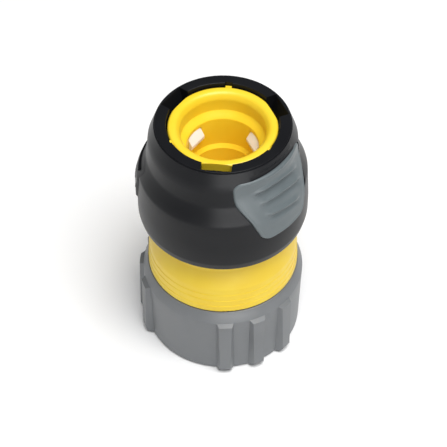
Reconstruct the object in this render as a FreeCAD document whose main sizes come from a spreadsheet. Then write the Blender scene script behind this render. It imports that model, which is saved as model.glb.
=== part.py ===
"""Quick connector for a garden hose: a sprung sleeve locks a tap plug in the socket, and a nut clamps the hose.

Frame: millimetres, +Z up from the nut's lower face to the mouth of the socket, Z on the bore's axis.
Azimuths are degrees from +X. The hose comes in from below, and the plug goes in from above.
"""
import FreeCAD
import Part
import math
import os
import Sketcher

doc = FreeCAD.newDocument("quick_connector")
sheet = doc.addObject("Spreadsheet::Sheet", "sizes")


class Size:
    """A number that also carries the expression it came from, so that a feature can be bound to it."""

    def __init__(self, value, text=None):
        self.value = float(value)
        self.text = text if text else repr(float(value))

    def _join(self, other, sign, value):
        return Size(value, "(%s %s %s)" % (self.text, sign, other.text))

    def __add__(self, other):
        other = as_size(other)
        return self._join(other, "+", self.value + other.value)

    def __radd__(self, other):
        return as_size(other) + self

    def __sub__(self, other):
        other = as_size(other)
        return self._join(other, "-", self.value - other.value)

    def __rsub__(self, other):
        return as_size(other) - self

    def __mul__(self, other):
        other = as_size(other)
        return self._join(other, "*", self.value * other.value)

    def __rmul__(self, other):
        return as_size(other) * self

    def __truediv__(self, other):
        other = as_size(other)
        return self._join(other, "/", self.value / other.value)

    def __neg__(self):
        return Size(-self.value, "(0 - %s)" % self.text)


def as_size(number):
    return number if isinstance(number, Size) else Size(number)


sheet_row = 0


def size(alias, value, note):
    """One driving size: a row of the sheet with its name, its number and what it is."""
    global sheet_row
    sheet_row += 1
    sheet.set("A%d" % sheet_row, note)
    sheet.set("B%d" % sheet_row, repr(float(value)))
    sheet.setAlias("B%d" % sheet_row, alias)
    return Size(value, "sizes." + alias)


# Sizes of the socket, from its mouth down
mouth_z = size("mouth_z", 69.5, "height of the rim above the nut's lower face")
rim_radius = size("rim_radius", 13.3, "outside of the rim")
collar_height = size("collar_height", 3.0, "height of the rim's collar")
tube_radius = size("tube_radius", 12.75, "outside of the tube that guides the sleeve, and of the rim's flats")
nib_reach = size("nib_reach", 0.5, "how far a key nib stands out of the rim")
nib_width = size("nib_width", 1.5, "width of a key nib")
nib_drop = size("nib_drop", 0.25, "how far a key nib ends below the rim's face")
key_gap = size("key_gap", 0.2, "gap round a key nib in the sleeve")
lip_radius = size("lip_radius", 11.3, "opening of the rim's face")
lip_height = size("lip_height", 1.6, "height over which the mouth widens to its lip")
mouth_radius = size("mouth_radius", 10.35, "wall of the mouth")
mouth_depth = size("mouth_depth", 5.0, "depth of the mouth")
mouth_cone = size("mouth_cone", 1.65, "height of the cone below the mouth")
bore_radius = size("bore_radius", 8.75, "main bore of the socket")
bore_depth = size("bore_depth", 15.1, "depth at which the main bore ends")
seal_radius = size("seal_radius", 8.0, "bore that the plug's seal runs in")
seal_length = size("seal_length", 8.0, "length of the seal bore")
step_height = size("step_height", 1.0, "height of the cone between the two bores")
water_radius = size("water_radius", 4.75, "water way through the hose tail")
funnel_height = size("funnel_height", 4.0, "height of the funnel into the water way")

rim_rounding = size("rim_rounding", 0.7, "rounding of the rim's outer edge")
lip_rounding = size("lip_rounding", 1.5, "rounding of the rim's inner edge")
edge_rounding = size("edge_rounding", 0.4, "rounding of a moulded edge")
fine_rounding = size("fine_rounding", 0.2, "rounding of a fine edge")
root_rounding = size("root_rounding", 0.6, "rounding in an inner corner")

# Sizes of the body below the sleeve
guide_length = size("guide_length", 10.0, "length of the tube that guides the sleeve")
waist_tube_radius = size("waist_tube_radius", 11.0, "outside of the tube inside the spring")
guide_cone = size("guide_cone", 1.75, "height of the cone below the guide tube")
flange_z = size("flange_z", 42.0, "top of the flange that the spring stands on")
flange_radius = size("flange_radius", 19.3, "outside of the flange")
flange_height = size("flange_height", 2.5, "height of the flange's edge")
flange_cone = size("flange_cone", 2.2, "height of the cone below the flange")
waist_radius = size("waist_radius", 17.3, "narrowest part of the finger waist")
waist_z = size("waist_z", 35.6, "height of the narrowest part")
waist_top_rounding = size("waist_top_rounding", 1.6, "rounding at the top of the waist")
waist_rounding = size("waist_rounding", 2.5, "rounding at the narrowest part of the waist")
skirt_rounding = size("skirt_rounding", 1.5, "rounding where the waist meets the skirt")
skirt_z = size("skirt_z", 30.2, "height at which the waist ends")
skirt_radius = size("skirt_radius", 18.85, "outside of the skirt at its top")
skirt_foot_z = size("skirt_foot_z", 22.3, "lower edge of the skirt")
skirt_step = size("skirt_step", 0.1, "height of each fine step round the skirt")
thread_root_radius = size("thread_root_radius", 17.1, "outside of the threaded wall between its threads")
thread_depth = size("thread_depth", 0.8, "depth of the thread")
body_foot_z = size("body_foot_z", 10.5, "lower end of the threaded wall")
hose_room_radius = size("hose_room_radius", 15.4, "inside of the threaded wall")
hose_stop_z = size("hose_stop_z", 36.0, "face that the end of the hose stops on")
lead_in_width = size("lead_in_width", 0.8, "how much the hose room widens at its mouth")
lead_in_height = size("lead_in_height", 3.0, "height over which the hose room widens")
stop_rounding = size("stop_rounding", 1.5, "rounding at the end of the hose room")
tail_rounding = size("tail_rounding", 1.0, "rounding where the hose tail starts")
tail_radius = size("tail_radius", 6.2, "outside of the hose tail")
tail_foot_z = size("tail_foot_z", 3.5, "lower end of the hose tail")
barb_height = size("barb_height", 0.7, "how far a barb stands out of the hose tail")
barb_pitch = size("barb_pitch", 4.0, "distance from one barb to the next")
barb_back = size("barb_back", 0.3, "height of a barb's steep back")
barb_land = size("barb_land", 1.0, "length of a barb's round crest")

# Sizes of the sleeve
sleeve_top_z = size("sleeve_top_z", 70.3, "top face of the sleeve")
sleeve_travel = size("sleeve_travel", 5.0, "how far the sleeve is pulled back")
ring_gap = size("ring_gap", 0.35, "gap between the rim and the sleeve")
guide_gap = size("guide_gap", 0.35, "gap between the guide tube and the sleeve")
ring_taper = size("ring_taper", 1.75, "how much the upper cone narrows to the top face")
ring_line = size("ring_line", 0.3, "width and depth of the line round the top face")
collar_taper = size("collar_taper", 0.5, "how much the neck narrows to the upper cone")
collar_z = size("collar_z", 65.86, "height of the foot of the upper cone")
neck_wall = size("neck_wall", 1.3, "wall outside the spring's room at the neck's foot")
neck_z = size("neck_z", 60.6, "height of the neck's foot")
shoulder_wall = size("shoulder_wall", 3.45, "wall outside the spring's room below the shoulder")
shoulder_z = size("shoulder_z", 55.7, "height of the shoulder's foot")
belly_wall = size("belly_wall", 1.55, "wall outside the flange's room at the widest part")
belly_z = size("belly_z", 47.0, "height of the widest part")
foot_z = size("foot_z", 40.6, "lower edge of the sleeve")
foot_wall = size("foot_wall", 1.05, "wall at the sleeve's lower edge")
land_foot_z = size("land_foot_z", 57.0, "ledge that the spring pushes on")
spring_side_gap = size("spring_side_gap", 1.4, "gap between the spring and the sleeve")
spring_room_foot_z = size("spring_room_foot_z", 49.8, "height at which the sleeve starts to widen over the flange")
room_cone = size("room_cone", 2.0, "height over which the sleeve widens over the flange")
neck_rounding = size("neck_rounding", 3.0, "rounding above and below the sleeve's shoulder")
belly_rounding = size("belly_rounding", 2.5, "rounding below the widest part of the sleeve")
belly_foot_z = size("belly_foot_z", 42.7, "height at which the sleeve turns in to its lower edge")
pocket_width = size("pocket_width", 7.3, "width of a pocket in the sleeve's top face")
ramp_foot_z = size("ramp_foot_z", 60.0, "height at which a pocket's ramp starts")
ramp_slope = size("ramp_slope", 0.25, "how far a ramp leans out for each millimetre of height")
first_pocket = size("first_pocket", 24.0, "azimuth of the first pocket, pawl and flat")

# Sizes of the pawls
pawl_reach = size("pawl_reach", 1.35, "how far a pawl stands into the bore")
pawl_width = size("pawl_width", 5.0, "width of a pawl's nose")
pawl_height = size("pawl_height", 3.4, "height of a pawl")
pawl_shoulder = size("pawl_shoulder", 0.7, "how far a pawl's shoulder stands out to each side")
pawl_chamfer = size("pawl_chamfer", 2.2, "height of the slope on a pawl's nose")
pawl_seat_radius = size("pawl_seat_radius", 10.8, "step in the window that keeps the pawl from falling in")
pawl_gap = size("pawl_gap", 0.1, "gap round a pawl in its window, and to its step and ramp")

# Sizes of the spring
wire_diameter = size("wire_diameter", 1.4, "wire of the spring")
spring_radius = size("spring_radius", 15.2, "middle of the spring's wire")
spring_turns = size("spring_turns", 5.0, "turns of the spring")
spring_gap = size("spring_gap", 0.05, "gap at each end of the spring")

# Sizes of the grey grip pad
pad_azimuth = size("pad_azimuth", -43.0, "azimuth of the grey pad's middle")
pad_top_z = size("pad_top_z", 67.25, "upper edge of the grey pad")
pad_foot_z = size("pad_foot_z", 49.1, "lower edge of the grey pad")
pad_half_width = size("pad_half_width", 11.5, "half the width of the grey pad at its upper corners")
pad_half_foot = size("pad_half_foot", 7.0, "half the width of the grey pad at its lower corners")
pad_side_z = size("pad_side_z", 60.8, "height at which the grey pad's sides start to close in")
pad_thickness = size("pad_thickness", 1.7, "thickness of the grey pad")
pad_foot_thickness = size("pad_foot_thickness", 1.1, "thickness of the grey pad at its lower edge")
pad_bend_rounding = size("pad_bend_rounding", 9.0, "bend of the pad's face above and below its flare")
pad_corner_radius = size("pad_corner_radius", 2.2, "upper corner of the grey pad, on its front side")
pad_far_corner = size("pad_far_corner", 3.8, "upper corner of the grey pad, on its other side")
pad_side_radius = size("pad_side_radius", 14.0, "bend in the sides of the grey pad")
pad_foot_corner = size("pad_foot_corner", 3.0, "lower corners of the grey pad")
pad_top_inset = size("pad_top_inset", 0.25, "how far the pad's upper edge lies inside the neck's top")
pad_bend_inset = size("pad_bend_inset", 0.45, "how far the pad lies inside the neck's foot where its flare starts")
pad_bend_z = size("pad_bend_z", 62.8, "height at which the pad starts to flare")
pad_knee_rise = size("pad_knee_rise", 0.2, "how far the pad stands out of the shoulder where its flare ends")
pad_knee_z = size("pad_knee_z", 54.2, "height at which the flare ends")
pad_foot_rise = size("pad_foot_rise", 0.25, "how far the pad's lower edge stands out of the sleeve")
scoop_radius = size("scoop_radius", 1.6, "roundness of the scoop above the grey pad")
scoop_rise = size("scoop_rise", 1.05, "height of the scoop's middle above the grey pad")
scoop_out = size("scoop_out", 0.55, "how far the scoop's middle lies outside the grey pad's upper edge")
scoop_arc = size("scoop_arc", 26.0, "bend of the scoop, flatter than the sleeve so that its ends run out")
scoop_turn = size("scoop_turn", 40.0, "angle that the scoop bends through")
first_ridge_z = size("first_ridge_z", 64.3, "height of the uppermost finger ridge")
ridge_pitch = size("ridge_pitch", 4.05, "distance from one finger ridge to the next")

# Sizes of the black grip on the far side
far_top_z = size("far_top_z", 58.2, "upper edge of the far grip")
far_foot_z = size("far_foot_z", 45.4, "lower edge of the far grip")
far_half_width = size("far_half_width", 16.8, "half the width of the far grip")
far_half_foot = size("far_half_foot", 16.3, "half the width of the far grip at its lower corners")
far_thickness = size("far_thickness", 1.0, "thickness of the far grip")
far_corner_radius = size("far_corner_radius", 3.0, "corners of the far grip")
far_bend_rounding = size("far_bend_rounding", 1.5, "bend of the far grip's face")
far_top_rise = size("far_top_rise", 0.3, "how far the far grip's upper edge stands out of the neck")
far_bend_z = size("far_bend_z", 54.0, "height at which the far grip's flare eases")
far_bend_rise = size("far_bend_rise", 0.5, "how far the far grip stands out of the shoulder there")
far_knee_z = size("far_knee_z", 51.2, "height at which the far grip is widest")
far_rise = size("far_rise", 0.4, "how far the far grip stands out of the belly")
far_hollow_height = size("far_hollow_height", 1.7, "height of the hollow above the far grip")
far_hollow_depth = size("far_hollow_depth", 0.4, "how far that hollow lies behind the far grip's upper edge")
far_ridge_z = size("far_ridge_z", 55.6, "height of the far grip's uppermost ridge")
far_ridge_pitch = size("far_ridge_pitch", 3.5, "distance from one ridge of the far grip to the next")
far_ridge_radius = size("far_ridge_radius", 0.5, "roundness of a ridge of the far grip")
far_ridge_height = size("far_ridge_height", 0.2, "how far a ridge of the far grip stands out")
far_ridge_arc = size("far_ridge_arc", 21.0, "bend of a ridge of the far grip")
far_ridge_turn = size("far_ridge_turn", 90.0, "angle that a ridge of the far grip bends through")
far_ridge_step = size("far_ridge_step", 0.0, "how much less each next ridge of the far grip bends")
grip_turn = size("grip_turn", 130.0, "angle of the strip that a grip is cut from")
recess_turn = size("recess_turn", 136.0, "angle of the strip that a recess is cut from")

# Sizes that both grips share
pad_gap = size("pad_gap", 0.08, "gap between a grip and its recess")
pad_edge = size("pad_edge", 0.5, "roundness of a grip's edge")
ridge_radius = size("ridge_radius", 0.8, "roundness of a finger ridge")
ridge_height = size("ridge_height", 0.5, "how far a finger ridge stands out")
ridge_arc = size("ridge_arc", 14.6, "bend of a finger ridge, tighter than the grip so that its ends sink in")
ridge_turn = size("ridge_turn", 72.0, "angle that the uppermost ridge bends through")
ridge_turn_step = size("ridge_turn_step", 6.0, "how much less each next ridge bends")

# Sizes of the nut and the clamp ring
nut_foot_radius = size("nut_foot_radius", 20.04, "outside of the nut at its lower face")
nut_edge_radius = size("nut_edge_radius", 20.62, "outside of the nut below its shoulder")
nut_edge_z = size("nut_edge_z", 19.15, "height of the edge below the shoulder")
nut_top_radius = size("nut_top_radius", 19.35, "inner edge of the shoulder")
nut_gap = size("nut_gap", 0.3, "gap between the nut and the body")
nut_floor = size("nut_floor", 3.0, "thickness of the nut's floor")
entry_radius = size("entry_radius", 13.6, "hole that the hose goes in by")
entry_height = size("entry_height", 0.8, "height of the slope inside the nut's floor")
nut_foot_rounding = size("nut_foot_rounding", 1.0, "rounding of the nut's lower edge")
nut_rounding = size("nut_rounding", 0.3, "rounding of the nut's upper edges")
rib_root = size("rib_root", 0.8, "how far a rib starts inside the nut's wall")
rib_reach = size("rib_reach", 1.9, "how far a rib stands out of the nut")
rib_base = size("rib_base", 5.2, "width of a rib at its root inside the wall")
rib_crest = size("rib_crest", 2.6, "width of a rib outside")
rib_lean = size("rib_lean", 0.3, "how far a rib's crest leans in towards its top")
rib_fall = size("rib_fall", 0.66, "how far a rib's top falls from the nut's edge to its crest")
rib_end_rounding = size("rib_end_rounding", 1.5, "rounding of a rib's lower end")
rib_spacing = size("rib_spacing", 23.7, "angle from one rib of a group to the next")
rib_middle = size("rib_middle", -64.7, "azimuth of the first group's middle rib")
rib_foot_z = size("rib_foot_z", 0.9, "lower end of a rib")
rib_draft = size("rib_draft", 0.5, "draft of a rib's sides, in degrees")
clamp_inner_radius = size("clamp_inner_radius", 13.3, "inside of the clamp ring")
clamp_top_z = size("clamp_top_z", 21.5, "upper end of the clamp ring's fingers")
clamp_flange = size("clamp_flange", 2.2, "height of the clamp ring's flange")
clamp_gap = size("clamp_gap", 0.1, "gap between the clamp ring's flange and the nut")
clamp_slot = size("clamp_slot", 1.4, "width of a slot between two fingers")
clamp_slot_foot_z = size("clamp_slot_foot_z", 7.5, "lower end of the slots")
tooth_height = size("tooth_height", 0.7, "how far a tooth stands into the clamp ring")
tooth_pitch = size("tooth_pitch", 3.0, "distance from one tooth to the next")
tooth_edge = size("tooth_edge", 0.3, "height of a tooth's steep side")
tooth_slope = size("tooth_slope", 1.3, "height of a tooth's long side")
clamp_lead_in = size("clamp_lead_in", 0.6, "how much the clamp ring widens at its foot")
first_tooth_depth = size("first_tooth_depth", 1.0, "distance of the first tooth from the fingers' ends")

PAWLS = 3
FINGERS = 8
BARBS = 3
TEETH = 4
SKIRT_STEPS = 3
RIDGES = 3
RIB_GROUPS = 3
RIBS_IN_GROUP = 3

# How far the outline of a cut, or the hidden root of a pad, runs past the face that it meets
PAST = 2.0


def origin_part(body, role):
    return [part for part in body.Origin.OriginFeatures if part.Role == role][0]


def new_body(label):
    body = doc.addObject("PartDesign::Body", label)
    body.Label = label
    return body


def new_sketch(body, name, plane="XZ_Plane", azimuth=None, height=None):
    """A sketch on one of the body's planes. On XZ it can be turned about Z, and on XY it can be lifted."""
    sketch = body.newObject("Sketcher::SketchObject", name)
    sketch.AttachmentSupport = [(origin_part(body, plane), "")]
    sketch.MapMode = "FlatFace"
    if azimuth is not None:
        turn = FreeCAD.Rotation(FreeCAD.Vector(0, 1, 0), azimuth.value)
        sketch.AttachmentOffset = FreeCAD.Placement(FreeCAD.Vector(), turn)
        sketch.setExpression("AttachmentOffset.Rotation.Angle", azimuth.text)
    if height is not None:
        sketch.AttachmentOffset = FreeCAD.Placement(FreeCAD.Vector(0, 0, height.value), FreeCAD.Rotation())
        sketch.setExpression("AttachmentOffset.Base.z", height.text)
    return sketch


def bind(sketch, constraint, number):
    """Adds a constraint and ties its value to the number's expression."""
    index = sketch.addConstraint(constraint)
    sketch.setExpression("Constraints[%d]" % index, number.text)


def pin_point(sketch, geometry, end, across, up):
    """Holds one end of a line, or a point, at its distances from the sketch's axes."""
    for kind, number, axis in (("DistanceX", across, -2), ("DistanceY", up, -1)):
        if number.value == 0.0:
            sketch.addConstraint(Sketcher.Constraint("PointOnObject", geometry, end, axis))
        else:
            bind(sketch, Sketcher.Constraint(kind, -1, 1, geometry, end, number.value), number)


def closed_outline(sketch, corners):
    """A closed outline of straight sides. A corner is (across, up) or (across, up, rounding)."""
    corners = [tuple(as_size(number) for number in corner) for corner in corners]
    points = [FreeCAD.Vector(corner[0].value, corner[1].value, 0) for corner in corners]
    count = len(corners)
    starts, ends, arcs = [], [], {}
    for index, corner in enumerate(corners):
        here = points[index]
        back = (points[index - 1] - here).normalize()
        ahead = (points[(index + 1) % count] - here).normalize()
        if len(corner) == 2:
            starts.append(here)
            ends.append(here)
            continue
        half = back.getAngle(ahead) / 2
        reach = corner[2].value / math.tan(half)
        ends.append(here + back * reach)
        starts.append(here + ahead * reach)
        centre = here + (back + ahead).normalize() * (corner[2].value / math.sin(half))
        inwards, outwards = ends[-1] - centre, starts[-1] - centre
        left_turn = back.cross(ahead).z < 0
        first, last = (inwards, outwards) if left_turn else (outwards, inwards)
        circle = Part.Circle(centre, FreeCAD.Vector(0, 0, 1), corner[2].value)
        arc = Part.ArcOfCircle(circle, math.atan2(first.y, first.x), math.atan2(last.y, last.x))
        arcs[index] = (arc, 1 if left_turn else 2)
    lines = []
    for index in range(count):
        line = Part.LineSegment(starts[index], ends[(index + 1) % count])
        lines.append(sketch.addGeometry(line, False))
    for index, corner in enumerate(corners):
        before, after = lines[index - 1], lines[index]
        if index not in arcs:
            sketch.addConstraint(Sketcher.Constraint("Coincident", before, 2, after, 1))
            pin_point(sketch, after, 1, corner[0], corner[1])
            continue
        curve, first = arcs[index]
        arc = sketch.addGeometry(curve, False)
        sketch.addConstraint(Sketcher.Constraint("Tangent", before, 2, arc, first))
        sketch.addConstraint(Sketcher.Constraint("Tangent", arc, 3 - first, after, 1))
        bind(sketch, Sketcher.Constraint("Radius", arc, corner[2].value), corner[2])
        point = sketch.addGeometry(Part.Point(points[index]), True)
        pin_point(sketch, point, 1, corner[0], corner[1])
        sketch.addConstraint(Sketcher.Constraint("PointOnObject", point, 1, before))
        sketch.addConstraint(Sketcher.Constraint("PointOnObject", point, 1, after))
    return sketch


def ring_edges(shape, radius, height):
    """Names of the round edges of a shape at a radius and a height."""
    found = []
    for number, edge in enumerate(shape.Edges, 1):
        if not isinstance(edge.Curve, Part.Circle):
            continue
        if abs(edge.Curve.Radius - radius.value) < 1e-4 and abs(edge.Curve.Center.z - height.value) < 1e-4:
            found.append("Edge%d" % number)
    return found


def revolve(body, name, corners):
    """A solid turned about Z. A corner is (radius, height), or (radius, height, rounding)."""
    corners = [tuple(as_size(number) for number in corner) for corner in corners]
    sketch = closed_outline(new_sketch(body, name + "_profile"), [corner[:2] for corner in corners])
    feature = body.newObject("PartDesign::Revolution", name)
    feature.Profile = (sketch, [""])
    feature.ReferenceAxis = (sketch, ["V_Axis"])
    feature.Angle = 360
    roundings = {}
    for corner in corners:
        if len(corner) == 3:
            roundings.setdefault(corner[2].text, []).append(corner)
    for same in roundings.values():
        doc.recompute()
        edges = [edge for corner in same for edge in ring_edges(feature.Shape, corner[0], corner[1])]
        fillet = body.newObject("PartDesign::Fillet", name + "_rounding")
        fillet.Base = (feature, edges)
        fillet.Radius = same[0][2].value
        fillet.setExpression("Radius", same[0][2].text)
        feature = fillet
    return feature


def block(body, name, kind, sketch, width, both_sides=True):
    """A Pad or a Pocket of a sketch, as wide as given, on both sides of the sketch's plane."""
    feature = body.newObject("PartDesign::" + kind, name)
    feature.Profile = (sketch, [""])
    feature.Length = width.value
    feature.setExpression("Length", width.text)
    if both_sides:
        feature.SideType = "Symmetric"
    return feature


def repeat_round(body, name, feature, count):
    """Copies of a feature, evenly spaced about Z."""
    pattern = body.newObject("PartDesign::PolarPattern", name)
    pattern.Originals = [feature]
    pattern.Axis = (origin_part(body, "Z_Axis"), [""])
    pattern.Angle = 360
    pattern.Occurrences = count
    body.Tip = pattern
    return pattern


def radial_box(body, name, kind, azimuth, radii, heights, width):
    """A Pad or Pocket with four sides, between two radii and two heights, across one azimuth."""
    sketch = new_sketch(body, name + "_profile", azimuth=azimuth)
    closed_outline(sketch, [(radii[0], heights[0]), (radii[1], heights[0]),
                            (radii[1], heights[1]), (radii[0], heights[1])])
    return block(body, name, kind, sketch, width)


# Levels that several pieces share
bore_foot_z = mouth_z - bore_depth
seal_foot_z = bore_foot_z - step_height - seal_length
collar_foot_z = mouth_z - collar_height
guide_foot_z = collar_foot_z - guide_length
land_radius = tube_radius + guide_gap
ring_bore_radius = rim_radius + ring_gap
land_top_z = collar_foot_z - pawl_gap
flange_foot_z = flange_z - flange_height
thread_crest_radius = thread_root_radius + thread_depth
nut_bore_radius = thread_crest_radius + nut_gap
pocket_turn = 360.0 / PAWLS
nut_top_z = skirt_foot_z - nut_gap
clamp_foot_z = nut_floor + clamp_gap
clamp_outer_radius = hose_room_radius - nut_gap
window_foot_z = ramp_foot_z - pawl_height / 2 - pawl_gap
window_top_z = ramp_foot_z + pawl_height / 2 + pawl_gap
room_radius = flange_radius + ring_gap
spring_room_radius = spring_radius + wire_diameter / 2 + spring_side_gap
belly_radius = room_radius + belly_wall
foot_radius = room_radius + foot_wall
shoulder_radius = spring_room_radius + shoulder_wall
neck_radius = spring_room_radius + neck_wall
collar_radius = neck_radius - collar_taper
ring_radius = collar_radius - ring_taper
ring_inset = nut_bore_radius - clamp_gap


def make_body():
    """The yellow body: socket, spring flange, finger waist, threaded wall and barbed hose tail in one moulding."""
    body = new_body("socket_body")
    outside = [(lip_radius, mouth_z, lip_rounding), (rim_radius, mouth_z, rim_rounding),
               (rim_radius, collar_foot_z),
               (tube_radius, collar_foot_z), (tube_radius, guide_foot_z),
               (waist_tube_radius, guide_foot_z - guide_cone), (waist_tube_radius, flange_z, root_rounding),
               (flange_radius, flange_z, edge_rounding), (flange_radius, flange_foot_z),
               (waist_radius, flange_foot_z - flange_cone, waist_top_rounding),
               (waist_radius, waist_z, waist_rounding), (skirt_radius, skirt_z, skirt_rounding)]
    step_fall = (skirt_z - skirt_foot_z) / (SKIRT_STEPS + 1)
    for index in range(SKIRT_STEPS):
        level = skirt_z - (index + 1) * step_fall
        outside.append((skirt_radius + index * skirt_step, level + skirt_step / 2))
        outside.append((skirt_radius + (index + 1) * skirt_step, level - skirt_step / 2))
    skirt_foot_radius = skirt_radius + SKIRT_STEPS * skirt_step
    outside += [(skirt_foot_radius, skirt_foot_z, fine_rounding), (thread_root_radius, skirt_foot_z),
                (thread_root_radius, body_foot_z, edge_rounding)]
    inside = [(hose_room_radius + lead_in_width, body_foot_z),
              (hose_room_radius, body_foot_z + lead_in_height),
              (hose_room_radius, hose_stop_z, stop_rounding), (tail_radius, hose_stop_z, tail_rounding)]
    first_barb_z = tail_foot_z + BARBS * barb_pitch
    for index in range(BARBS):
        level = first_barb_z - index * barb_pitch
        inside.append((tail_radius, level))
        inside.append((tail_radius + barb_height, level - barb_back))
        inside.append((tail_radius + barb_height, level - barb_back - barb_land))
    inside += [(tail_radius, tail_foot_z, edge_rounding), (water_radius, tail_foot_z, edge_rounding),
               (water_radius, seal_foot_z - funnel_height), (seal_radius, seal_foot_z),
               (seal_radius, bore_foot_z - step_height), (bore_radius, bore_foot_z),
               (bore_radius, mouth_z - mouth_depth - mouth_cone, edge_rounding),
               (mouth_radius, mouth_z - mouth_depth, edge_rounding),
               (mouth_radius, mouth_z - lip_height, lip_rounding)]
    revolve(body, "moulding", outside + inside)
    doc.recompute()

    flat = radial_box(body, "rim_flat", "Pocket", first_pocket, (tube_radius, rim_radius + PAST),
                      (collar_foot_z, mouth_z + PAST), 2 * rim_radius)
    repeat_round(body, "rim_flats", flat, PAWLS)
    nib = radial_box(body, "key_nib", "Pad", first_pocket + pocket_turn / 2,
                     (tube_radius, rim_radius + nib_reach), (collar_foot_z, mouth_z - nib_drop), nib_width)
    repeat_round(body, "key_nibs", nib, PAWLS)

    window = radial_box(body, "pawl_window", "Pocket", first_pocket, (bore_radius - PAST, rim_radius),
                        (window_foot_z, window_top_z), pawl_width + 2 * pawl_gap)
    repeat_round(body, "pawl_windows", window, PAWLS)
    seat = radial_box(body, "pawl_seat", "Pocket", first_pocket, (pawl_seat_radius, rim_radius),
                      (window_foot_z, window_top_z), pawl_width + 2 * (pawl_shoulder + pawl_gap))
    repeat_round(body, "pawl_seats", seat, PAWLS)
    return body


class Grip:
    """A grip's sizes: its outline seen from straight in front, and its face from its upper edge down."""

    def __init__(self, azimuth, outline, face, thickness, foot_thickness, ridges, hollow=None):
        self.azimuth = azimuth
        self.half_width, self.side_z, self.half_foot = outline[:3]
        self.near_corner, self.far_corner, self.side_bend, self.foot_corner = outline[3:]
        self.top_radius, self.top_z = face[0]
        self.bends = face[1:-1]
        self.foot_radius, self.foot_z = face[-1]
        self.thickness = thickness
        self.foot_thickness = foot_thickness
        self.first_ridge_z, self.ridge_pitch, self.ridge_radius, self.ridge_height = ridges[:4]
        self.ridge_arc, self.ridge_turn, self.ridge_step = ridges[4:]
        self.hollow = hollow

    def bent_face(self, inset):
        """The bends of the face as (radius, height, rounding), set back by inset."""
        return [(radius - inset, level, rounding) for radius, level, rounding in self.bends]

    def face_radius(self, level):
        """Radius of the face at a height, along its straight stretches."""
        points = [(self.top_radius, self.top_z)] + [bend[:2] for bend in self.bends]
        points.append((self.foot_radius, self.foot_z))
        for upper, lower in zip(points, points[1:]):
            if level.value > lower[1].value or lower is points[-1]:
                slope = (lower[0] - upper[0]) / (upper[1] - lower[1])
                return lower[0] - slope * (level - lower[1])


grey_grip = Grip(
    azimuth=pad_azimuth,
    outline=(pad_half_width, pad_side_z, pad_half_foot,
             pad_corner_radius, pad_far_corner, pad_side_radius, pad_foot_corner),
    face=((collar_radius - pad_top_inset, pad_top_z),
          (neck_radius - pad_bend_inset, pad_bend_z, pad_bend_rounding),
          (shoulder_radius + pad_knee_rise, pad_knee_z, pad_bend_rounding),
          (belly_radius + pad_foot_rise, pad_foot_z)),
    thickness=pad_thickness, foot_thickness=pad_foot_thickness,
    ridges=(first_ridge_z, ridge_pitch, ridge_radius, ridge_height, ridge_arc, ridge_turn, ridge_turn_step))

black_grip = Grip(
    azimuth=pad_azimuth + 180.0,
    outline=(far_half_width, far_bend_z, far_half_foot,
             far_corner_radius, far_corner_radius, pad_side_radius, far_corner_radius),
    face=((neck_radius + far_top_rise, far_top_z),
          (shoulder_radius + far_bend_rise, far_bend_z, far_bend_rounding),
          (belly_radius + far_rise, far_knee_z, far_bend_rounding),
          (belly_radius + far_rise, far_foot_z)),
    thickness=far_thickness, foot_thickness=far_thickness,
    ridges=(far_ridge_z, far_ridge_pitch, far_ridge_radius, far_ridge_height,
            far_ridge_arc, far_ridge_turn, far_ridge_step),
    hollow=(far_hollow_height, far_hollow_depth))


def cut_to_outline(body, grip, margin, top_z):
    """Trims a turned strip to the grip's outline, seen from straight in front of it."""
    sketch = new_sketch(body, "grip_outline", "YZ_Plane")
    sketch.AttachmentOffset = FreeCAD.Placement(FreeCAD.Vector(), FreeCAD.Rotation(FreeCAD.Vector(0, 1, 0),
                                                                                 grip.azimuth.value))
    sketch.setExpression("AttachmentOffset.Rotation.Angle", grip.azimuth.text)
    wide, high, low = grip.half_width + belly_radius, top_z + belly_radius, grip.foot_z - belly_radius
    closed_outline(sketch, [(-wide, low), (wide, low), (wide, high), (-wide, high)])
    half_top, half_foot = grip.half_width + margin, grip.half_foot + margin
    foot = grip.foot_z - margin
    closed_outline(sketch, [(-half_foot, foot, grip.foot_corner), (half_foot, foot, grip.foot_corner),
                            (half_top, grip.side_z, grip.side_bend), (half_top, top_z, grip.far_corner),
                            (-half_top, top_z, grip.near_corner), (-half_top, grip.side_z, grip.side_bend)])
    return block(body, "outline_trim", "Pocket", sketch, 4 * belly_radius)


def grip_strip(body, azimuth, turn, inner, outer):
    """Part of a ring about Z, wide enough for a grip, between two faces given from top to bottom."""
    sketch = closed_outline(new_sketch(body, "strip_profile", azimuth=azimuth), outer + inner[::-1])
    strip = body.newObject("PartDesign::Revolution", "strip")
    strip.Profile = (sketch, [""])
    strip.ReferenceAxis = (sketch, ["V_Axis"])
    strip.Midplane = True
    strip.Angle = turn.value
    strip.setExpression("Angle", turn.text)
    return strip


def bent_bar(body, name, azimuth, centre, level, bar_radius, arc, turn):
    """A round bar at a height, bent about an upright axis that lies its arc behind its middle."""
    sketch = new_sketch(body, name + "_section", azimuth=azimuth)
    circle = Part.Circle(FreeCAD.Vector(centre.value, level.value, 0), FreeCAD.Vector(0, 0, 1), bar_radius.value)
    bar = sketch.addGeometry(circle, False)
    bind(sketch, Sketcher.Constraint("Radius", bar, bar_radius.value), bar_radius)
    pin_point(sketch, bar, 3, centre, level)
    pivot = centre - arc
    axis = Part.LineSegment(FreeCAD.Vector(pivot.value, level.value - PAST, 0),
                            FreeCAD.Vector(pivot.value, level.value, 0))
    axis = sketch.addGeometry(axis, True)
    pin_point(sketch, axis, 1, pivot, level - PAST)
    pin_point(sketch, axis, 2, pivot, level)
    bend = body.newObject("PartDesign::Revolution", name)
    bend.Profile = (sketch, [""])
    bend.ReferenceAxis = (sketch, ["Axis0"])
    bend.Midplane = True
    bend.Angle = turn.value
    bend.setExpression("Angle", turn.text)


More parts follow.
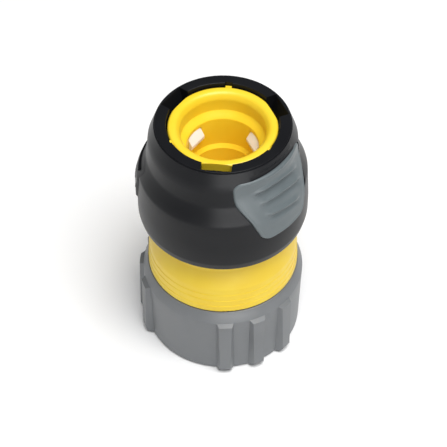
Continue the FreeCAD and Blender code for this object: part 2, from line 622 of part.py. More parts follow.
def make_recess(name, grip):
    """What the sleeve loses for a grip: its seat, and the scoop or hollow above it."""
    body = new_body(name)
    depth = grip.thickness + pad_gap
    seat_top = grip.top_z + pad_gap
    seat_foot = grip.foot_z - pad_gap
    foot_floor = grip.foot_radius - grip.foot_thickness - pad_gap
    inner = [(grip.top_radius - depth, seat_top)] + grip.bent_face(depth)
    inner += [(foot_floor, seat_foot), (foot_floor, seat_foot - PAST)]
    cut_top = seat_top
    if grip.hollow:
        cut_top = grip.top_z + grip.hollow[0]
        hollow_floor = grip.top_radius - grip.hollow[1]
        inner = [(hollow_floor, cut_top + PAST), (hollow_floor, seat_top)] + inner
    else:
        inner = [(grip.top_radius - depth, seat_top + PAST)] + inner
    outer = [(belly_radius + PAST, cut_top + PAST), (belly_radius + PAST, seat_foot - PAST)]
    grip_strip(body, grip.azimuth, recess_turn, inner, outer)
    doc.recompute()
    cut_to_outline(body, grip, pad_gap, cut_top)
    if not grip.hollow:
        bent_bar(body, "scoop", grip.azimuth, grip.top_radius + scoop_out, grip.top_z + scoop_rise,
                 scoop_radius, scoop_arc, scoop_turn)
    return body


def face_edges(shape, grip):
    """Names of the edges that bound the grip's outer face."""
    names = []
    for number, edge in enumerate(shape.Edges, 1):
        points = [edge.valueAt(edge.FirstParameter), edge.valueAt(edge.LastParameter)]
        reach = grip.foot_thickness.value / 2
        outside = all(math.hypot(point.x, point.y) > grip.face_radius(as_size(point.z)).value - reach
                      for point in points)
        level = abs(points[0].z - points[1].z) < 1e-6
        margin = pad_edge.value / 2
        inner_ring = level and grip.foot_z.value + margin < points[0].z < grip.top_z.value - margin
        if outside and not inner_ring:
            names.append("Edge%d" % number)
    return names


def make_grip(name, grip):
    """A grip with a rounded edge and three finger ridges."""
    body = new_body(name)
    foot_back = grip.foot_radius - grip.foot_thickness
    outer = [(grip.top_radius, grip.top_z + PAST), (grip.top_radius, grip.top_z)]
    outer += grip.bent_face(as_size(0))
    outer += [(grip.foot_radius, grip.foot_z), (grip.foot_radius, grip.foot_z - PAST)]
    inner = [(grip.top_radius - grip.thickness, grip.top_z + PAST), (grip.top_radius - grip.thickness, grip.top_z)]
    inner += grip.bent_face(grip.thickness)
    inner += [(foot_back, grip.foot_z), (foot_back, grip.foot_z - PAST)]
    grip_strip(body, grip.azimuth, grip_turn, inner, outer)
    doc.recompute()
    trim = cut_to_outline(body, grip, as_size(0), grip.top_z)
    doc.recompute()
    edge = body.newObject("PartDesign::Fillet", "soft_edge")
    edge.Base = (trim, face_edges(trim.Shape, grip))
    edge.Radius = pad_edge.value
    edge.setExpression("Radius", pad_edge.text)
    for index in range(RIDGES):
        level = grip.first_ridge_z - index * grip.ridge_pitch
        centre = grip.face_radius(level) + grip.ridge_height - grip.ridge_radius
        bent_bar(body, "ridge", grip.azimuth, centre, level, grip.ridge_radius, grip.ridge_arc,
                 grip.ridge_turn - index * grip.ridge_step)
    return body


def make_sleeve_shell():
    """The black release sleeve before its recesses: a stepped bell with three ramped pockets."""
    body = new_body("sleeve_shell")
    revolve(body, "bell", [
        (ring_bore_radius, sleeve_top_z, fine_rounding), (ring_radius, sleeve_top_z, ring_line / 2),
        (ring_radius, sleeve_top_z - ring_line), (ring_radius + ring_line, sleeve_top_z - ring_line),
        (collar_radius, collar_z), (neck_radius, neck_z, neck_rounding),
        (shoulder_radius, shoulder_z, neck_rounding), (belly_radius, belly_z),
        (belly_radius, belly_foot_z, belly_rounding), (foot_radius, foot_z, fine_rounding),
        (room_radius, foot_z), (room_radius, spring_room_foot_z - room_cone, root_rounding),
        (spring_room_radius, spring_room_foot_z, root_rounding),
        (spring_room_radius, land_foot_z, root_rounding),
        (land_radius, land_foot_z), (land_radius, land_top_z), (ring_bore_radius, land_top_z)])
    doc.recompute()
    sketch = new_sketch(body, "pocket_profile", azimuth=first_pocket)
    top = sleeve_top_z + PAST
    closed_outline(sketch, [(land_radius - PAST, land_foot_z),
                            (land_radius - ramp_slope * (ramp_foot_z - land_foot_z), land_foot_z),
                            (land_radius + ramp_slope * (top - ramp_foot_z), top), (land_radius - PAST, top)])
    pocket = block(body, "pocket", "Pocket", sketch, pocket_width)
    repeat_round(body, "pockets", pocket, PAWLS)
    key = radial_box(body, "keyway", "Pocket", first_pocket + pocket_turn / 2,
                     (rim_radius - PAST, rim_radius + nib_reach + key_gap), (land_top_z, top),
                     nib_width + 2 * key_gap)
    repeat_round(body, "keyways", key, PAWLS)
    return body


def make_sleeve():
    """The sleeve: its shell less the recesses of the two grips."""
    shell = make_sleeve_shell()
    recesses = doc.addObject("Part::MultiFuse", "grip_recesses")
    recesses.Shapes = [make_recess("recess_front", grey_grip), make_recess("recess_back", black_grip)]
    sleeve = doc.addObject("Part::Cut", "sleeve")
    sleeve.Label = "sleeve"
    sleeve.Base = shell
    sleeve.Tool = recesses
    return sleeve


def make_pawl(name, azimuth):
    """A white locking pawl: a sloped nose in the bore, a shoulder that stops it, and a back on the ramp."""
    body = new_body(name)
    foot, top = ramp_foot_z - pawl_height / 2, ramp_foot_z + pawl_height / 2
    back = land_radius - pawl_gap / 2
    lean = ramp_slope * (pawl_height / 2)
    nose = bore_radius - pawl_reach
    whole = new_sketch(body, "nose_profile", azimuth=azimuth)
    closed_outline(whole, [(nose, foot, edge_rounding), (back - lean, foot), (back + lean, top),
                           (bore_radius, top), (nose, top - pawl_chamfer, edge_rounding)])
    block(body, "nose", "Pad", whole, pawl_width)
    shoulder = new_sketch(body, "shoulder_profile", azimuth=azimuth)
    seat = pawl_seat_radius + pawl_gap
    closed_outline(shoulder, [(seat, foot), (back - lean, foot), (back + lean, top), (seat, top)])
    block(body, "shoulder", "Pad", shoulder, pawl_width + 2 * pawl_shoulder)
    return body


def make_spring():
    """The sleeve's coil spring, with its ends ground flat."""
    body = new_body("sleeve_spring")
    foot, top = flange_z + spring_gap, land_foot_z - spring_gap
    sketch = new_sketch(body, "wire_section")
    circle = Part.Circle(FreeCAD.Vector(spring_radius.value, foot.value, 0), FreeCAD.Vector(0, 0, 1),
                         wire_diameter.value / 2)
    wire = sketch.addGeometry(circle, False)
    bind(sketch, Sketcher.Constraint("Radius", wire, wire_diameter.value / 2), wire_diameter / 2)
    pin_point(sketch, wire, 3, spring_radius, foot)
    coil = body.newObject("PartDesign::AdditiveHelix", "coil")
    coil.Profile = (sketch, [""])
    coil.ReferenceAxis = (sketch, ["V_Axis"])
    coil.Mode = "height-turns-angle"
    coil.setExpression("Height", (top - foot).text)
    coil.setExpression("Turns", spring_turns.text)
    coil.Height = (top - foot).value
    coil.Turns = spring_turns.value
    doc.recompute()
    for name, low, high in (("ground_foot", foot - PAST, foot), ("ground_top", top, top + PAST)):
        outline = new_sketch(body, name + "_profile")
        closed_outline(outline, [(spring_radius - PAST, low), (spring_radius + PAST, low),
                                 (spring_radius + PAST, high), (spring_radius - PAST, high)])
        groove = body.newObject("PartDesign::Groove", name)
        groove.Profile = (outline, [""])
        groove.ReferenceAxis = (outline, ["V_Axis"])
        groove.Angle = 360
    return body


def make_clamp_ring():
    """The clamp ring: a flange that the nut turns on, and toothed fingers that close on the hose."""
    body = new_body("clamp_ring")
    flange_top = clamp_foot_z + clamp_flange
    corners = [(clamp_inner_radius + clamp_lead_in, clamp_foot_z), (ring_inset, clamp_foot_z, edge_rounding),
               (ring_inset, flange_top, edge_rounding), (clamp_outer_radius, flange_top),
               (clamp_outer_radius, clamp_top_z, root_rounding), (clamp_inner_radius, clamp_top_z)]
    first_tooth_z = clamp_top_z - first_tooth_depth
    for index in range(TEETH):
        level = first_tooth_z - index * tooth_pitch
        corners.append((clamp_inner_radius, level))
        corners.append((clamp_inner_radius - tooth_height, level - tooth_edge))
        corners.append((clamp_inner_radius, level - tooth_edge - tooth_slope))
    revolve(body, "ring", corners)
    doc.recompute()
    slot = radial_box(body, "slot", "Pocket", as_size(0.0),
                      (clamp_inner_radius - PAST, clamp_outer_radius + PAST),
                      (clamp_slot_foot_z, clamp_top_z + PAST), clamp_slot)
    repeat_round(body, "slots", slot, FINGERS)
    return body


def make_nut():
    """The grey clamping nut: a drafted wall with a sloped shoulder and nine grip ribs in groups of three."""
    body = new_body("clamp_nut")
    revolve(body, "wall", [
        (entry_radius, 0.0), (nut_foot_radius, 0.0, nut_foot_rounding),
        (nut_edge_radius, nut_edge_z, fine_rounding), (nut_top_radius, nut_top_z, nut_rounding),
        (nut_bore_radius, nut_top_z, nut_rounding), (nut_bore_radius, nut_floor, edge_rounding),
        (entry_radius + entry_height, nut_floor), (entry_radius, nut_floor - entry_height)])
    doc.recompute()
    sketch = new_sketch(body, "rib_outlines", "XY_Plane", height=rib_foot_z)
    crest_radius = nut_foot_radius + rib_reach
    root_radius = nut_foot_radius - rib_root
    for index in range(RIBS_IN_GROUP):
        azimuth = math.radians(rib_middle.value + (index - 1) * rib_spacing.value)
        place_rib(sketch, azimuth, index, root_radius, crest_radius)
    rib = body.newObject("PartDesign::Pad", "ribs")
    rib.Profile = (sketch, [""])
    rib.Length = (nut_edge_z - rib_foot_z).value
    rib.setExpression("Length", (nut_edge_z - rib_foot_z).text)
    rib.TaperAngle = rib_draft.value
    rib.setExpression("TaperAngle", rib_draft.text)
    repeat_round(body, "all_ribs", rib, RIB_GROUPS)
    form_ribs(body, crest_radius)
    return body


def form_ribs(body, crest_radius):
    """Cuts what stands outside the ribs' side view: a sloped top, a leaning crest and a rounded lower end."""
    sketch = new_sketch(body, "rib_form_profile")
    out, high, low = crest_radius + PAST, nut_edge_z + PAST, rib_foot_z - PAST
    end = crest_radius - rib_end_rounding - nut_rounding / 2
    closed_outline(sketch, [(nut_edge_radius, high), (nut_edge_radius, nut_edge_z),
                            (crest_radius - rib_lean, nut_edge_z - rib_fall),
                            (crest_radius, rib_foot_z, rib_end_rounding), (end, rib_foot_z), (end, low),
                            (out, low), (out, high)])
    form = body.newObject("PartDesign::Groove", "rib_form")
    form.Profile = (sketch, [""])
    form.ReferenceAxis = (sketch, ["V_Axis"])
    form.Angle = 360


def place_rib(sketch, azimuth, index, root_radius, crest_radius):
    """One rib's outline: a trapezoid whose middle line points at its azimuth."""
    out = FreeCAD.Vector(math.cos(azimuth), math.sin(azimuth), 0)
    side = FreeCAD.Vector(-math.sin(azimuth), math.cos(azimuth), 0)
    angle = "(%s + (%d) * %s) * 1deg" % (rib_middle.text, index - 1, rib_spacing.text)
    corners = []
    for radius, half, sign in ((root_radius, rib_base / 2, -1), (crest_radius, rib_crest / 2, -1),
                               (crest_radius, rib_crest / 2, 1), (root_radius, rib_base / 2, 1)):
        point = out * radius.value + side * (sign * half.value)
        across = "%s * cos(%s) - (%d) * %s * sin(%s)" % (radius.text, angle, sign, half.text, angle)
        up = "%s * sin(%s) + (%d) * %s * cos(%s)" % (radius.text, angle, sign, half.text, angle)
        corners.append((Size(point.x, across), Size(point.y, up)))
    closed_outline(sketch, corners)


pieces = [make_body(), make_sleeve(), make_spring(), make_clamp_ring(), make_nut()]
pieces.append(make_grip("grip_pad_front", grey_grip))
pieces.append(make_grip("grip_pad_back", black_grip))
for number in range(PAWLS):
    pieces.append(make_pawl("pawl_%d" % (number + 1), first_pocket + number * pocket_turn))
doc.recompute()

for item in doc.Objects:
    if "Invalid" in item.State or "Error" in item.State:
        raise RuntimeError("%s failed to build" % item.Name)
for piece in pieces:
    if piece.Shape.isNull() or not piece.Shape.isValid():
        raise RuntimeError("%s has no valid shape" % piece.Label)

os.makedirs("parts", exist_ok=True)
for piece in pieces:
    piece.Shape.exportStep("parts/%s.step" % piece.Label)
    box = piece.Shape.BoundBox
    print("%-16s solids %d  volume %9.1f  z %.2f to %.2f  x %.2f to %.2f" % (
        piece.Label, len(piece.Shape.Solids), piece.Shape.Volume, box.ZMin, box.ZMax, box.XMin, box.XMax))
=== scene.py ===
# %% [markdown]
# # A quick connector for a garden hose
#
# This lesson dresses a connector that was built to size: a yellow socket, a black release sleeve
# with two finger grips, white pawls and a grey clamping nut. The rigid pieces are already exact, so
# they stay as they are and get finishes. What is soft, or too fine for the model, is made here.
# Everything is in metres, +Z points up the bore, and the photograph looks along +Y and down.

import math

import bmesh
import bpy
from mathutils import Matrix, Vector


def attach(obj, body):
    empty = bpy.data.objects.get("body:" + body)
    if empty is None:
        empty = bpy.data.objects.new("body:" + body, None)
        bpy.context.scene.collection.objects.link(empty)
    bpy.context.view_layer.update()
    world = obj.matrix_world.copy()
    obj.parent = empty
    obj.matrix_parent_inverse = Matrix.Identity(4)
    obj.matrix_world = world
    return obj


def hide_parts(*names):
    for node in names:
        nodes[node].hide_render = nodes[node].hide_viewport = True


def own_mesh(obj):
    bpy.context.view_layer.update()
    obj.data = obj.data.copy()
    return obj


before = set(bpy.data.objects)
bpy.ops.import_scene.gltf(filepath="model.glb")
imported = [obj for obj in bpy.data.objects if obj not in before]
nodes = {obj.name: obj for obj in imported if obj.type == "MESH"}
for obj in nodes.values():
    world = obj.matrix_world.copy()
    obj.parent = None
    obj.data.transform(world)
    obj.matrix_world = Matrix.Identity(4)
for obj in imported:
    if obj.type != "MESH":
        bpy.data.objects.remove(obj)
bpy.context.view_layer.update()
MM = 0.001
print("pieces:", ", ".join(sorted(nodes)))

# %% [markdown]
# ## Round faces that look round
#
# The rigid pieces come as loose triangles, which catch the light one by one. They could be made
# anew as smooth surfaces, but then they might not seat any more. A Weld modifier joins their
# triangles instead, smooth shading blends their light, and an Edge Split modifier keeps the real
# corners crisp. Nothing moves, so a piece still seats exactly where it was designed to.

# %% Shade the rigid pieces smoothly
WELD_REACH = 0.002 * MM
CORNER_ANGLE = math.radians(28)


def shade_round(piece):
    """Smooth light over round faces, with corners sharper than the angle kept."""
    for face in piece.data.polygons:
        face.use_smooth = True
    weld = piece.modifiers.new("joined", "WELD")
    weld.merge_threshold = WELD_REACH
    split = piece.modifiers.new("corners", "EDGE_SPLIT")
    split.split_angle = CORNER_ANGLE


for piece in nodes.values():
    shade_round(piece)
    print(piece.name, len(piece.data.polygons), "triangles")

# %% [markdown]
# ## Screw threads
#
# The clamping nut runs on a coarse right-handed thread, moulded on the socket and in the nut. It
# could be a profile with a Screw modifier. Here its profile is a face of four corners, which is
# spun about Z and rises with each step, because that gives the exact lead and closes both ends.
# The nut's own thread fills the gap between the turns of the other.

# %% Threads
LEAD = 4.0 * MM
STEPS_PER_TURN = 72


def shown(name, builder, body):
    """Makes a piece from a finished mesh and lets it move with a body."""
    mesh = bpy.data.meshes.new(name)
    bmesh.ops.recalc_face_normals(builder, faces=builder.faces[:])
    builder.to_mesh(mesh)
    builder.free()
    piece = bpy.data.objects.new(name, mesh)
    bpy.context.scene.collection.objects.link(piece)
    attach(piece, body)
    print(name, len(mesh.polygons), "faces, moves with", body)
    return piece


def thread(name, root, crest, root_width, crest_width, start_z, turns, body):
    """A helical ridge from its root radius to its crest radius."""
    builder = bmesh.new()
    corners = [(root, -root_width / 2), (root, root_width / 2),
               (crest, crest_width / 2), (crest, -crest_width / 2)]
    profile = builder.faces.new([builder.verts.new((radius, 0, start_z + rise))
                                 for radius, rise in corners])
    steps = int(STEPS_PER_TURN * turns)
    bmesh.ops.spin(builder, geom=[profile, *profile.edges, *profile.verts],
                   cent=(0, 0, 0), axis=(0, 0, 1), dvec=(0, 0, LEAD * turns / steps),
                   angle=math.tau * turns, steps=steps)
    piece = shown(name, builder, body)
    shade_round(piece)
    return piece


body_thread = thread("body_thread", root=17.0 * MM, crest=17.9 * MM, root_width=2.2 * MM,
                     crest_width=1.1 * MM, start_z=11.9 * MM, turns=2.2, body="body")
nut_thread = thread("nut_thread", root=18.3 * MM, crest=17.4 * MM, root_width=1.5 * MM,
                    crest_width=0.7 * MM, start_z=13.9 * MM, turns=1.5, body="nut")

# %% [markdown]
# ## The spring
#
# A coil spring stands between the socket's flange and a ledge in the sleeve, and pushes the sleeve
# up. It could be a curve with a round bevel. One circle of wire is spun with a rise instead,
# because two plane cuts can then grind its ends flat, as they are on a real spring. Its foot stays
# on the flange.

# %% Coil spring
SPRING_FOOT, SPRING_TOP = 42.05 * MM, 56.95 * MM
COIL_RADIUS, WIRE_RADIUS = 15.2 * MM, 0.7 * MM
COIL_TURNS, STEPS_PER_COIL, WIRE_SIDES = 5, 56, 14


def everything(builder):
    return builder.verts[:] + builder.edges[:] + builder.faces[:]


builder = bmesh.new()
made = bmesh.ops.create_circle(builder, cap_ends=True, segments=WIRE_SIDES, radius=WIRE_RADIUS)
upright = Matrix.Rotation(math.radians(90), 4, "X")
start = Matrix.Translation((COIL_RADIUS, 0, SPRING_FOOT))
bmesh.ops.transform(builder, matrix=start @ upright, verts=made["verts"])
steps = COIL_TURNS * STEPS_PER_COIL
bmesh.ops.spin(builder, geom=everything(builder), cent=(0, 0, 0), axis=(0, 0, 1),
               dvec=(0, 0, (SPRING_TOP - SPRING_FOOT) / steps),
               angle=math.tau * COIL_TURNS, steps=steps)
for level, away in ((SPRING_FOOT, -1), (SPRING_TOP, 1)):
    bmesh.ops.bisect_plane(builder, geom=everything(builder), plane_co=(0, 0, level),
                           plane_no=(0, 0, away), clear_outer=True)
    bmesh.ops.holes_fill(builder, edges=[edge for edge in builder.edges if edge.is_boundary])
coil_spring = shown("coil_spring", builder, "body")
shade_round(coil_spring)
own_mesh(coil_spring)
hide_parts("sleeve_spring")

# %% [markdown]
# ## The soft grip
#
# The grey grip is a soft moulding, bonded into a recess of the sleeve. Its face could be sculpted,
# but a rule for each point is easier to fit to the photograph. So the face is one fine grid, and
# each of its points is set by two shares, one across the grip and one down it. This cell holds the
# outline, which gives a point's place across, and the flared face, which gives its distance from
# the axis. All of these sizes are in millimetres.

# %% Outline and face of the soft grip
GRIP_AZIMUTH = math.radians(-43.0)
GRIP_TOP, GRIP_FOOT = 67.25, 49.1
CORNERS = [(-7.0, GRIP_FOOT, 3.0), (7.0, GRIP_FOOT, 3.0), (11.5, 60.8, 14.0),
           (11.5, GRIP_TOP, 3.8), (-11.5, GRIP_TOP, 2.2), (-11.5, 60.8, 14.0)]
FACE = [(17.85, GRIP_TOP), (18.15, 62.8), (20.95, 54.2), (21.45, GRIP_FOOT)]
BEND_REACH = 1.05
ENDS_INSET = 0.001
SHORTEST_SIDE = 1e-6


def rounded(corners, steps=16):
    """Points round a convex outline whose corners are arcs of their own radius."""
    points = []
    count = len(corners)
    for index, (across, up, radius) in enumerate(corners):
        here = Vector((across, up))
        back = (Vector(corners[index - 1][:2]) - here).normalized()
        ahead = (Vector(corners[(index + 1) % count][:2]) - here).normalized()
        half = back.angle(ahead) / 2
        centre = here + (back + ahead).normalized() * radius / math.sin(half)
        first = here + back * radius / math.tan(half) - centre
        last = here + ahead * radius / math.tan(half) - centre
        begin, end = math.atan2(first.y, first.x), math.atan2(last.y, last.x)
        sweep = (end - begin + math.pi) % math.tau - math.pi
        for step in range(steps + 1):
            angle = begin + sweep * step / steps
            points.append(centre + Vector((math.cos(angle), math.sin(angle))) * radius)
    return points


outline = rounded(CORNERS)
print("outline of the soft grip:", len(outline), "points")


def sides_at(level):
    """The two ends of the outline at a height."""
    level = min(max(level, GRIP_FOOT + ENDS_INSET), GRIP_TOP - ENDS_INSET)
    crossings = []
    for one, two in zip(outline, outline[1:] + outline[:1]):
        if min(one.y, two.y) <= level <= max(one.y, two.y) and one.y != two.y:
            share = (level - one.y) / (two.y - one.y)
            crossings.append(one.x + (two.x - one.x) * share)
    return min(crossings), max(crossings)


def edge_distance(across, level, reach):
    """How far a point inside the outline lies from it, exact up to a reach."""
    point = Vector((across, level))
    left, right = sides_at(level)
    nearest = min(GRIP_TOP - level, level - GRIP_FOOT, across - left, right - across)
    if nearest > reach:
        return nearest
    for one, two in zip(outline, outline[1:] + outline[:1]):
        side = two - one
        if side.length > SHORTEST_SIDE:
            share = min(max((point - one).dot(side) / side.length_squared, 0), 1)
            nearest = min(nearest, (one + side * share - point).length)
    return nearest


def face_radius(level):
    """The face's distance from the axis, along its straight stretches."""
    for (upper_radius, upper), (lower_radius, lower) in zip(FACE, FACE[1:]):
        if level >= lower or lower == GRIP_FOOT:
            share = (upper - level) / (upper - lower)
            return upper_radius + (lower_radius - upper_radius) * share


def bent_radius(level):
    """The same face with its bends made broad."""
    return sum(face_radius(level + step * BEND_REACH / 2) for step in range(-2, 3)) / 5


# %% [markdown]
# ## Finger ridges
#
# Three ridges stop a wet finger from slipping. Each could be a bent bar set on the face, but in the
# soft moulding they have no edges at their roots. So each is a wave that is added to the face's
# height, with a groove below it, and it arches up in its middle and runs out at both ends.

# %% Ridges
RIDGES = [((-8.0, 62.9), (8.6, 61.3), 1.8),
          ((-6.9, 59.9), (9.0, 58.2), 1.3),
          ((-6.3, 56.7), (6.8, 54.7), 0.4)]
CREST_HEIGHT, CREST_WIDTH = 0.6, 0.6
GROOVE_DEPTH, GROOVE_WIDTH, GROOVE_DROP = 0.45, 0.75, 1.35
RUN_OUT = 3.4


def soft_step(value):
    """0 below 0, 1 above 1, and a soft rise in between."""
    value = min(max(value, 0), 1)
    return value * value * (3 - 2 * value)


def ridge_height(across, level):
    """How far the ridges lift the face at a point."""
    height = 0
    for (left, left_level), (right, right_level), bow in RIDGES:
        share = (across - left) / (right - left)
        arch = bow * 4 * share * (1 - share)
        crest = left_level + (right_level - left_level) * share + arch
        present = soft_step((across - left) / RUN_OUT) * soft_step((right - across) / RUN_OUT)
        above = level - crest
        height += present * CREST_HEIGHT * math.exp(-(above / CREST_WIDTH) ** 2)
        height -= present * GROOVE_DEPTH * math.exp(-((above + GROOVE_DROP) / GROOVE_WIDTH) ** 2)
    return height


print("finger ridges:", len(RIDGES), "of them,", CREST_HEIGHT, "mm high at most")

# %% [markdown]
# ## One closed grip
#
# The edge of the moulding is round, a fine raised rim follows it, and inside the rim the face is
# dished by a fraction of a millimetre. A bevel could round the edge, but it would stumble over the
# fine grid, so the round is part of the same rule. A second grid behind the first is the back, and
# bridging the two edges closes the grip.

# %% The soft grip
GRIP_GRID = (150, 190)
EDGE_RADIUS = 0.45
RIM_RISE, RIM_WIDTH = 0.12, 0.3
DISH_DEPTH, DISH_START, DISH_WIDTH = 0.16, 1.4, 2.4
BACK_DEPTH = 1.0


def grip_point(share_across, share_down, depth):
    """A point of the grip's face, or of its back at a depth."""
    level = GRIP_TOP - (GRIP_TOP - GRIP_FOOT) * (1 - math.cos(math.pi * share_down)) / 2
    left, right = sides_at(level)
    across = left + (right - left) * share_across
    radius = bent_radius(level) - depth
    if depth == 0:
        margin = max(edge_distance(across, level, DISH_START + DISH_WIDTH), 0)
        inside = min(margin, EDGE_RADIUS)
        radius += ridge_height(across, level) - EDGE_RADIUS
        radius += RIM_RISE * math.exp(-((margin - EDGE_RADIUS) / RIM_WIDTH) ** 2)
        radius -= DISH_DEPTH * soft_step((margin - DISH_START) / DISH_WIDTH)
        radius += math.sqrt(EDGE_RADIUS ** 2 - (EDGE_RADIUS - inside) ** 2)
    out = math.sqrt(radius ** 2 - across ** 2)
    x = out * math.cos(GRIP_AZIMUTH) - across * math.sin(GRIP_AZIMUTH)
    y = out * math.sin(GRIP_AZIMUTH) + across * math.cos(GRIP_AZIMUTH)
    return Vector((x, y, level)) * MM


builder = bmesh.new()
rims = []
for depth in (0, BACK_DEPTH):
    made = bmesh.ops.create_grid(builder, x_segments=GRIP_GRID[0], y_segments=GRIP_GRID[1],
                                 size=0.5)
    for vert in made["verts"]:
        vert.co = grip_point(vert.co.x + 0.5, 0.5 - vert.co.y, depth)
    around = {edge for vert in made["verts"] for edge in vert.link_edges}
    rims += [edge for edge in around if edge.is_boundary]
bmesh.ops.bridge_loops(builder, edges=rims)
soft_grip = shown("soft_grip_pad", builder, "sleeve")
for face in soft_grip.data.polygons:
    face.use_smooth = True
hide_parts("grip_pad_front")

# %% [markdown]
# ## Finishes
#
# A finish is a tree of nodes. Written out link by link it is hard to read, so two small classes
# help. `Wire` stands for the value at a socket, and sums and products of wires become Math nodes.
# `Finish` holds one material, and its `node` method adds any other node: first its settings, then
# its inputs, each either a plain value or a wire.

# %% Wires and finishes
class Wire:
    """The value at one socket of a material."""

    def __init__(self, finish, socket):
        self.finish = finish
        self.socket = socket

    def _join(self, operation, other):
        return self.finish.node("ShaderNodeMath", {"operation": operation}, {0: self, 1: other})

    def __add__(self, other):
        return self._join("ADD", other)

    __radd__ = __add__

    def __mul__(self, other):
        return self._join("MULTIPLY", other)

    __rmul__ = __mul__

    def between(self, low, high):
        """0 below low, 1 above high, and a soft step in between."""
        return self.finish.node("ShaderNodeMapRange", {"interpolation_type": "SMOOTHSTEP"},
                                {"Value": self, "From Min": low, "From Max": high})


class Finish:
    """One material, with the shader that it ends in."""

    def __init__(self, name):
        self.material = bpy.data.materials.new(name)
        self.material.use_nodes = True
        self.tree = self.material.node_tree
        self.shader = self.tree.nodes["Principled BSDF"]

    def plug(self, socket, value):
        """Sets a socket to a plain value, or links a wire to it."""
        if isinstance(value, Wire):
            self.tree.links.new(value.socket, socket)
        else:
            socket.default_value = value

    def node(self, kind, settings, inputs, output=0):
        """Any node: its kind, its settings, its inputs, and the output to use."""
        made = self.tree.nodes.new(kind)
        for name, value in settings.items():
            setattr(made, name, value)
        for name, value in inputs.items():
            self.plug(made.inputs[name], value)
        return Wire(self, made.outputs[output])

    def set(self, **inputs):
        """Sets the shader's own inputs, such as Base_Color or Roughness."""
        for name, value in inputs.items():
            self.plug(self.shader.inputs[name.replace("_", " ")], value)

    def noise(self, size, detail=2.0):
        """Soft noise from 0 to 1 on the object, in patches about as large as the size."""
        place = self.node("ShaderNodeTexCoord", {}, {}, "Object")
        return self.node("ShaderNodeTexNoise", {},
                         {"Vector": place, "Scale": 1 / size, "Detail": detail})

    def blend(self, share, first, second):
        """A colour between two colours."""
        return self.node("ShaderNodeMix", {"data_type": "RGBA"},
                         {"Factor": share, "A": first, "B": second}, "Result")

    def bump(self, height, depth):
        """A normal that makes a height from 0 to 1 look as deep as the depth."""
        return self.node("ShaderNodeBump", {},
                         {"Height": height, "Distance": depth, "Strength": 1.0})


def colour(red, green, blue):
    """A colour as a screen shows it, from 0 to 255, as the light that a shader works with."""
    light = []
    for value in (red, green, blue):
        share = value / 255
        light.append(share / 12.92 if share <= 0.04045 else ((share + 0.055) / 1.055) ** 2.4)
    return (*light, 1.0)


def dress(piece, finish):
    """Gives a piece one finish in all of its slots."""
    if not piece.data.materials:
        piece.data.materials.append(finish.material)
    for index in range(len(piece.data.materials)):
        piece.data.materials[index] = finish.material
    print(piece.name, "is dressed in", finish.material.name)


# %% [markdown]
# ## Moulded plastic
#
# Every hard piece is injection moulded, and so is the soft grip. Each could have a material of its
# own, but one recipe serves them all: a colour that drifts a little where the plastic flowed, a
# sheen that drifts with it, and the grain of the steel mould as a fine bump. The pieces differ in
# colour, in gloss and in how coarse their grain is. The black mirrors less than the others, because
# its grain is matt.

# %% Plastics
GRAIN_SIZE = 0.25 * MM
FLOW_SIZE = 9 * MM


def moulded(name, lit, shaded, gloss, grain_depth, reflect=0.5):
    """Moulded plastic between two shades. Gloss is the range of its roughness."""
    finish = Finish(name)
    flow = finish.noise(FLOW_SIZE)
    grain = finish.noise(GRAIN_SIZE, detail=3.0)
    smooth, rough = gloss
    finish.set(Base_Color=finish.blend(flow.between(0.35, 0.65), shaded, lit),
               Roughness=flow * (rough - smooth) + smooth,
               Normal=finish.bump(grain, grain_depth),
               Specular_IOR_Level=reflect)
    return finish


yellow = moulded("yellow_moulding", colour(251, 217, 56), colour(249, 212, 46),
                 gloss=(0.32, 0.4), grain_depth=0.003 * MM, reflect=0.4)
black = moulded("black_moulding", colour(24, 25, 28), colour(21, 22, 25),
                gloss=(0.34, 0.4), grain_depth=0.006 * MM, reflect=0.18)
grey = moulded("grey_moulding", colour(118, 121, 124), colour(114, 117, 120),
               gloss=(0.38, 0.46), grain_depth=0.008 * MM)
ivory = moulded("ivory_moulding", colour(246, 242, 236), colour(242, 237, 230),
                gloss=(0.4, 0.5), grain_depth=0.004 * MM)
soft = moulded("soft_grip", colour(100, 109, 112), colour(96, 105, 108),
               gloss=(0.38, 0.46), grain_depth=0.006 * MM)

# %% [markdown]
# ## Spring wire
#
# The spring is drawn stainless wire. Metal has no colour below its surface, so Metallic is 1 and
# the base colour is the colour of its reflections. Drawing leaves the wire a little uneven, which
# could be a bump, but on a wire this thin a drift in its roughness is enough.

# %% Wire
WIRE_PATCH = 0.6 * MM

steel = Finish("spring_wire")
steel.set(Base_Color=colour(196, 196, 198), Metallic=1.0,
          Roughness=0.28 + 0.12 * steel.noise(WIRE_PATCH))

# %% [markdown]
# ## A finish for each piece
#
# The socket and the ring that clamps the hose are yellow, the sleeve and its far grip are black,
# and the pawls are the white ones that show in the bore. One table is enough, because each piece is
# moulded in one colour.

# %% Dress the pieces
WORN = {"socket_body": yellow, "clamp_ring": yellow, "sleeve": black, "grip_pad_back": black,
        "clamp_nut": grey, "pawl_1": ivory, "pawl_2": ivory, "pawl_3": ivory}
for name, finish in WORN.items():
    dress(nodes[name], finish)
for piece, finish in ((soft_grip, soft), (body_thread, yellow), (nut_thread, grey),
                      (coil_spring, steel)):
    dress(piece, finish)

# %% [markdown]
# ## Floor and lamps
#
# The photograph is a catalogue picture on white. A backdrop could be bent up behind the connector,
# but the camera looks down, so a wide plain floor is enough. A large soft lamp high in front lights
# the faces that look up and leaves the waist under the sleeve darker. The black slopes mirror a low
# panel in front. Its light is kept off the colours, so that it adds sheen and nothing else.

# %% Floor and lamps
FLOOR_SIZE = 6.0
SKY_LIGHT = 0.16
LAMPS_AIM = Vector((0, 0, 0.035))

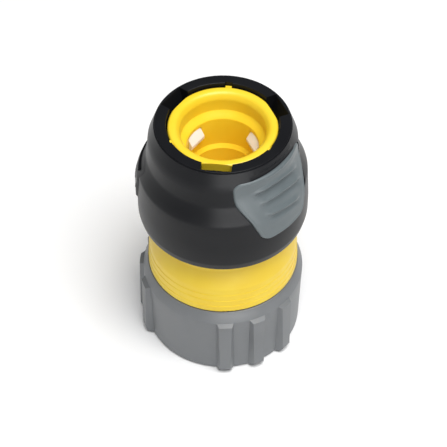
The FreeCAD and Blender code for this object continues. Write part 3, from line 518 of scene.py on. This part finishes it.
floor_mesh = bpy.data.meshes.new("floor")
builder = bmesh.new()
bmesh.ops.create_grid(builder, x_segments=1, y_segments=1, size=FLOOR_SIZE / 2)
builder.to_mesh(floor_mesh)
builder.free()
floor = bpy.data.objects.new("floor", floor_mesh)
bpy.context.scene.collection.objects.link(floor)

paper = Finish("white_paper")
paper.set(Base_Color=colour(252, 252, 252), Roughness=0.9, Specular_IOR_Level=0.1)
dress(floor, paper)

world = bpy.data.worlds.new("studio")
bpy.context.scene.world = world
world.use_nodes = True
sky = world.node_tree.nodes["Background"]
sky.inputs["Color"].default_value = (1.0, 1.0, 1.0, 1.0)
sky.inputs["Strength"].default_value = SKY_LIGHT


def panel(name, azimuth, elevation, distance, width, height, power):
    """A soft lamp that looks at the middle of the connector."""
    angle, rise = math.radians(azimuth), math.radians(elevation)
    out = Vector((math.cos(angle) * math.cos(rise), math.sin(angle) * math.cos(rise),
                  math.sin(rise)))
    lamp = bpy.data.lights.new(name, "AREA")
    lamp.shape = "RECTANGLE"
    lamp.size, lamp.size_y, lamp.energy = width, height, power
    placed = bpy.data.objects.new(name, lamp)
    bpy.context.scene.collection.objects.link(placed)
    turn = out.to_track_quat("Z", "Y").to_matrix().to_4x4()
    placed.matrix_world = Matrix.Translation(LAMPS_AIM + out * distance) @ turn
    print(name, power, "W")
    return placed


panel("key_lamp", azimuth=-58, elevation=72, distance=1.4, width=0.95, height=0.95, power=24.6)
front_panel = panel("front_panel", azimuth=-76, elevation=0, distance=0.35,
                    width=0.32, height=0.05, power=0.65)
front_panel.visible_diffuse = False

# %% [markdown]
# ## Camera
#
# The photograph was taken with a long lens from nearly half a metre, looking down at about 48
# degrees. Such a camera could be placed by eye, but then the round edges would come out too flat
# or too deep. Its place and its lens were fitted to the photograph beforehand, and stand here as
# numbers.

# %% Camera
CAMERA_PLACE = Vector((0, -301.93, 375.99)) * MM
CAMERA_TARGET = Vector((0.15, 0, 34.1)) * MM
LENS = 144.97
SENSOR_WIDTH = 36

camera = bpy.data.cameras.new("camera")
camera.sensor_width = SENSOR_WIDTH
camera.lens = LENS
camera_object = bpy.data.objects.new("camera", camera)
bpy.context.scene.collection.objects.link(camera_object)
looking = (CAMERA_TARGET - CAMERA_PLACE).to_track_quat("-Z", "Y")
camera_object.matrix_world = Matrix.Translation(CAMERA_PLACE) @ looking.to_matrix().to_4x4()
bpy.context.scene.camera = camera_object
bpy.context.scene.view_settings.view_transform = "Standard"
print("camera distance:", round((CAMERA_TARGET - CAMERA_PLACE).length, 3), "m")
